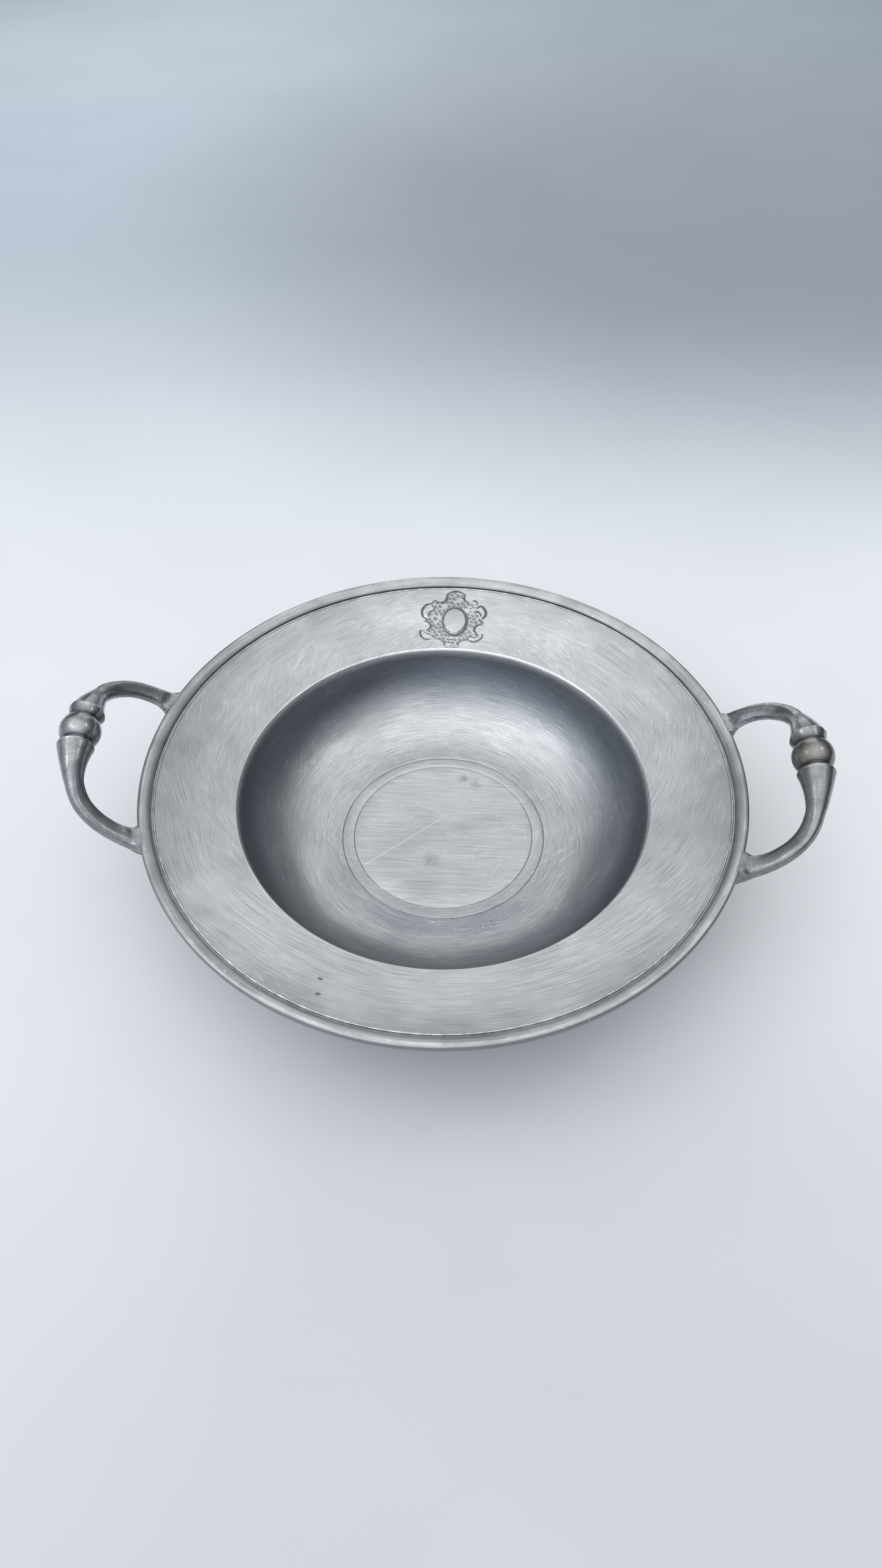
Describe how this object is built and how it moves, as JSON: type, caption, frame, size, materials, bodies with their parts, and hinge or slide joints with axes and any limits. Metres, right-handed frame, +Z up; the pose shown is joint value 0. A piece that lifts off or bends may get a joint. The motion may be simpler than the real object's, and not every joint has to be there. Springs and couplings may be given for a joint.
{
  "type": "two-handled bowl",
  "caption": "Wide-brimmed round metal bowl with a deep well, a moulded rim, a low foot and a raised loop handle with a ball grip on either side.",
  "frame": {"origin": "on the resting plane under the centre of the bowl", "axes": "+Z up out of the bowl; the two handles lie along X, a little toward -Y; the ornament on the brim is at +Y"},
  "size_m": [0.3693, 0.3, 0.0947],
  "materials": {
    "bowl_pewter": "satin pewter, turned and hand burnished with fine scratches",
    "moulding_pewter": "satin pewter, slightly darker and warmer",
    "handle_pewter": "cast pewter, tarnished dark with rubbed highlights",
    "solder": "dull filed solder"
  },
  "bodies": {
    "root": {"bowl_body": "bowl_pewter", "rim_moulding": "moulding_pewter", "rim_solder_seam": "solder", "foot_ring": "bowl_pewter", "foot_solder_seam": "solder", "handle_left": "handle_pewter", "handle_right": "handle_pewter", "solder_left_far": "solder", "solder_left_near": "solder", "solder_right_far": "solder", "solder_right_near": "solder"}
  },
  "joints": []
}
